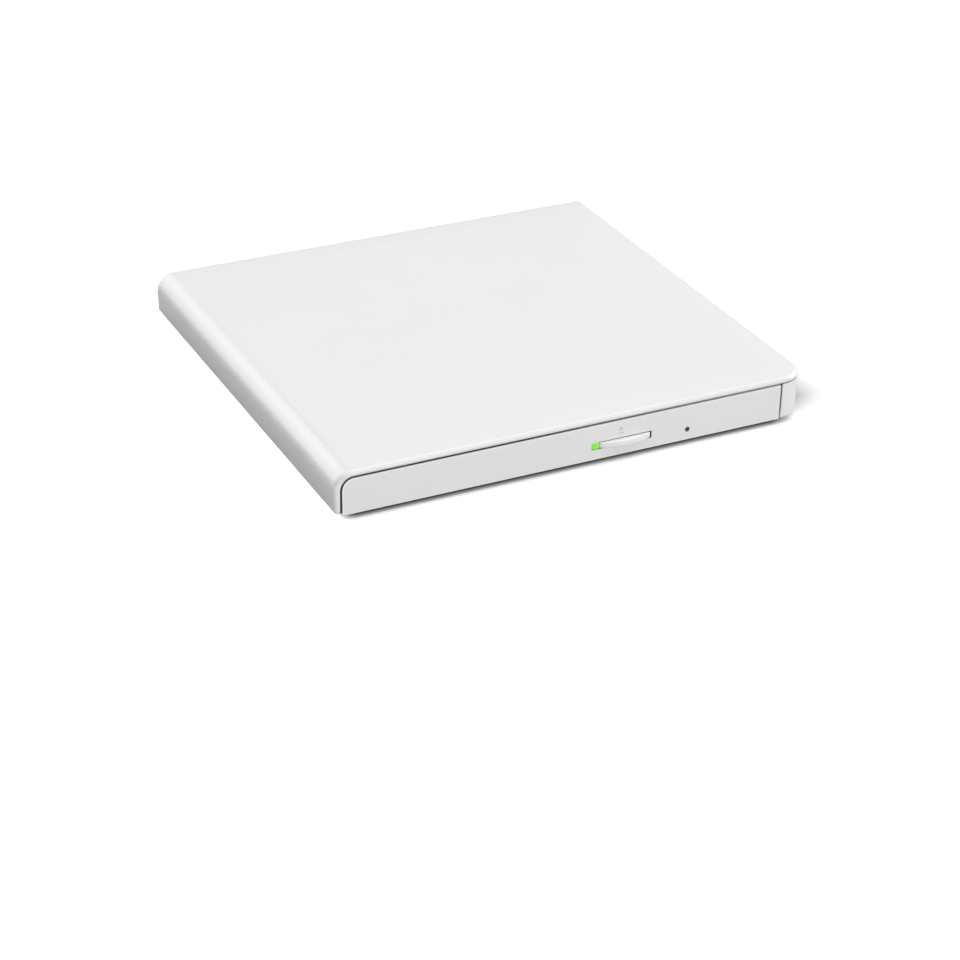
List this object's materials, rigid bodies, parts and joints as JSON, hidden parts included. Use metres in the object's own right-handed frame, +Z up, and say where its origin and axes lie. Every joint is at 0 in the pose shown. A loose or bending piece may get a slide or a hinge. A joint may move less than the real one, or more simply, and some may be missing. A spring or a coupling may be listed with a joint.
{
  "type": "external disc drive",
  "caption": "Slim external disc drive in a white plastic case: its tray slides out on rails with the turntable, pickup and bezel, which has an eject button and a light.",
  "frame": {"origin": "on the floor under the middle of the case, at the underside of the feet", "axes": "+Z up, front with the bezel at -Y, +X to the right seen from the front"},
  "size_m": [0.144, 0.139, 0.014],
  "materials": {
    "cover_plastic": "glossy moulded white",
    "case_plastic": "satin moulded white",
    "bezel_plastic": "fine satin white",
    "button_plastic": "satin white",
    "foot_rubber": "matte grey",
    "screw_steel": "blackened",
    "drive_sheet": "galvanised sheet",
    "slide_plastic": "natural self-lubricating moulding",
    "spring_steel": "drawn wire",
    "bright_steel": "ground",
    "circuit_board": "green solder mask",
    "connector_plastic": "black moulding",
    "cable_socket_plastic": "ivory moulding",
    "cable_film": "white film with conductor lines",
    "chip_plastic": "black epoxy",
    "socket_steel": "tinned",
    "tray_plastic": "fine moulded black",
    "light_plastic": "lit green, translucent",
    "lamp": "clear green",
    "mechanism_plate": "black painted sheet",
    "frame_steel": "plated sheet",
    "damper_rubber": "matte black",
    "winding_copper": "enamelled copper",
    "hub_plastic": "black moulding",
    "pickup_casting": "bead blasted die casting",
    "holder_plastic": "black liquid crystal polymer",
    "lens_glass": "coated",
    "rod_plastic": "natural moulding"
  },
  "bodies": {
    "case": {"top_cover": "cover_plastic", "bottom_case": "case_plastic", "rubber_feet": "foot_rubber", "case_screws": "screw_steel", "upper_shell": "drive_sheet", "lower_shell": "drive_sheet", "shell_screws": "screw_steel", "left_guide": "slide_plastic", "right_guide": "slide_plastic", "lock_pin": "bright_steel", "ejector_housing": "slide_plastic", "ejector_spring": "spring_steel", "rear_board": "circuit_board", "rear_socket": "connector_plastic", "rear_cable_socket": "cable_socket_plastic", "flat_cable": "cable_film", "bridge_board": "circuit_board", "bridge_chip": "chip_plastic", "bridge_plug": "connector_plastic", "usb_shell": "socket_steel", "usb_tongue": "connector_plastic"},
    "tray": {"tray": "tray_plastic", "front_bezel": "bezel_plastic", "led_lens": "light_plastic", "status_led": "lamp", "switch_board": "circuit_board", "eject_switch": "connector_plastic", "main_board": "circuit_board", "main_chips": "chip_plastic", "tray_cable_socket": "cable_socket_plastic", "mechanism_cover": "mechanism_plate", "traverse_frame": "frame_steel", "dampers": "damper_rubber", "damper_screws": "screw_steel", "motor_base": "circuit_board", "stator": "winding_copper", "main_shaft": "bright_steel", "sub_shaft": "bright_steel", "sled_motor": "frame_steel", "latch_solenoid": "winding_copper"},
    "left_rail": {"left_rail": "bright_steel"},
    "right_rail": {"right_rail": "bright_steel"},
    "button": {"eject_button": "button_plastic"},
    "spindle": {"rotor": "frame_steel", "spindle_shaft": "bright_steel", "turntable": "hub_plastic", "friction_ring": "damper_rubber", "hub_balls": "bright_steel"},
    "pickup": {"pickup_body": "pickup_casting", "actuator_cover": "frame_steel", "screw_follower": "slide_plastic"},
    "lens": {"lens_holder": "holder_plastic", "objective_lens": "lens_glass"},
    "lead_screw": {"lead_screw": "bright_steel"},
    "lock": {"lock_lever": "slide_plastic"},
    "ejector": {"ejector_rod": "rod_plastic"}
  },
  "joints": [
    {"name": "tray_slide", "type": "slide", "parent": "case", "child": "tray", "axis": [0, -1, 0], "range_m": [0, 0.128], "deforming": ["flat_cable"]},
    {"name": "left_rail_slide", "type": "slide", "parent": "case", "child": "left_rail", "axis": [0, -1, 0], "range_m": [0, 0.064]},
    {"name": "right_rail_slide", "type": "slide", "parent": "case", "child": "right_rail", "axis": [0, -1, 0], "range_m": [0, 0.064]},
    {"name": "ejector_push", "type": "slide", "parent": "case", "child": "ejector", "axis": [0, -1, 0], "range_m": [0, 0.012], "deforming": ["ejector_spring"]},
    {"name": "button_press", "type": "slide", "parent": "tray", "child": "button", "axis": [0, 1, 0], "range_m": [0, 0.0006], "stiffness_N_per_m": 1500},
    {"name": "spindle_spin", "type": "hinge", "parent": "tray", "child": "spindle", "pos_m": [-0.0033, -0.00175, 0], "axis": [0, 0, 1], "continuous": true},
    {"name": "pickup_slide", "type": "slide", "parent": "tray", "child": "pickup", "axis": [-0.7071, -0.7071, 0], "range_m": [0, 0.034]},
    {"name": "lead_screw_spin", "type": "hinge", "parent": "tray", "child": "lead_screw", "pos_m": [-0.00613, -0.04135, 0.006], "axis": [-0.7071, -0.7071, 0], "range_deg": [-4080, 0]},
    {"name": "lens_focus", "type": "slide", "parent": "pickup", "child": "lens", "axis": [0, 0, 1], "range_m": [-0.0004, 0.0004], "stiffness_N_per_m": 60},
    {"name": "lock_swing", "type": "hinge", "parent": "tray", "child": "lock", "pos_m": [0.0452, -0.05455, 0.0042], "axis": [0, 0, 1], "range_deg": [0, 13]}
  ],
  "couplings": [
    {"joint": "left_rail_slide", "follows": "tray_slide", "ratio": 0.5},
    {"joint": "right_rail_slide", "follows": "tray_slide", "ratio": 0.5},
    {"joint": "ejector_push", "follows": "tray_slide", "ratio": 0.09375},
    {"joint": "lead_screw_spin", "follows": "pickup_slide", "rad_per_m": -2094.4}
  ]
}
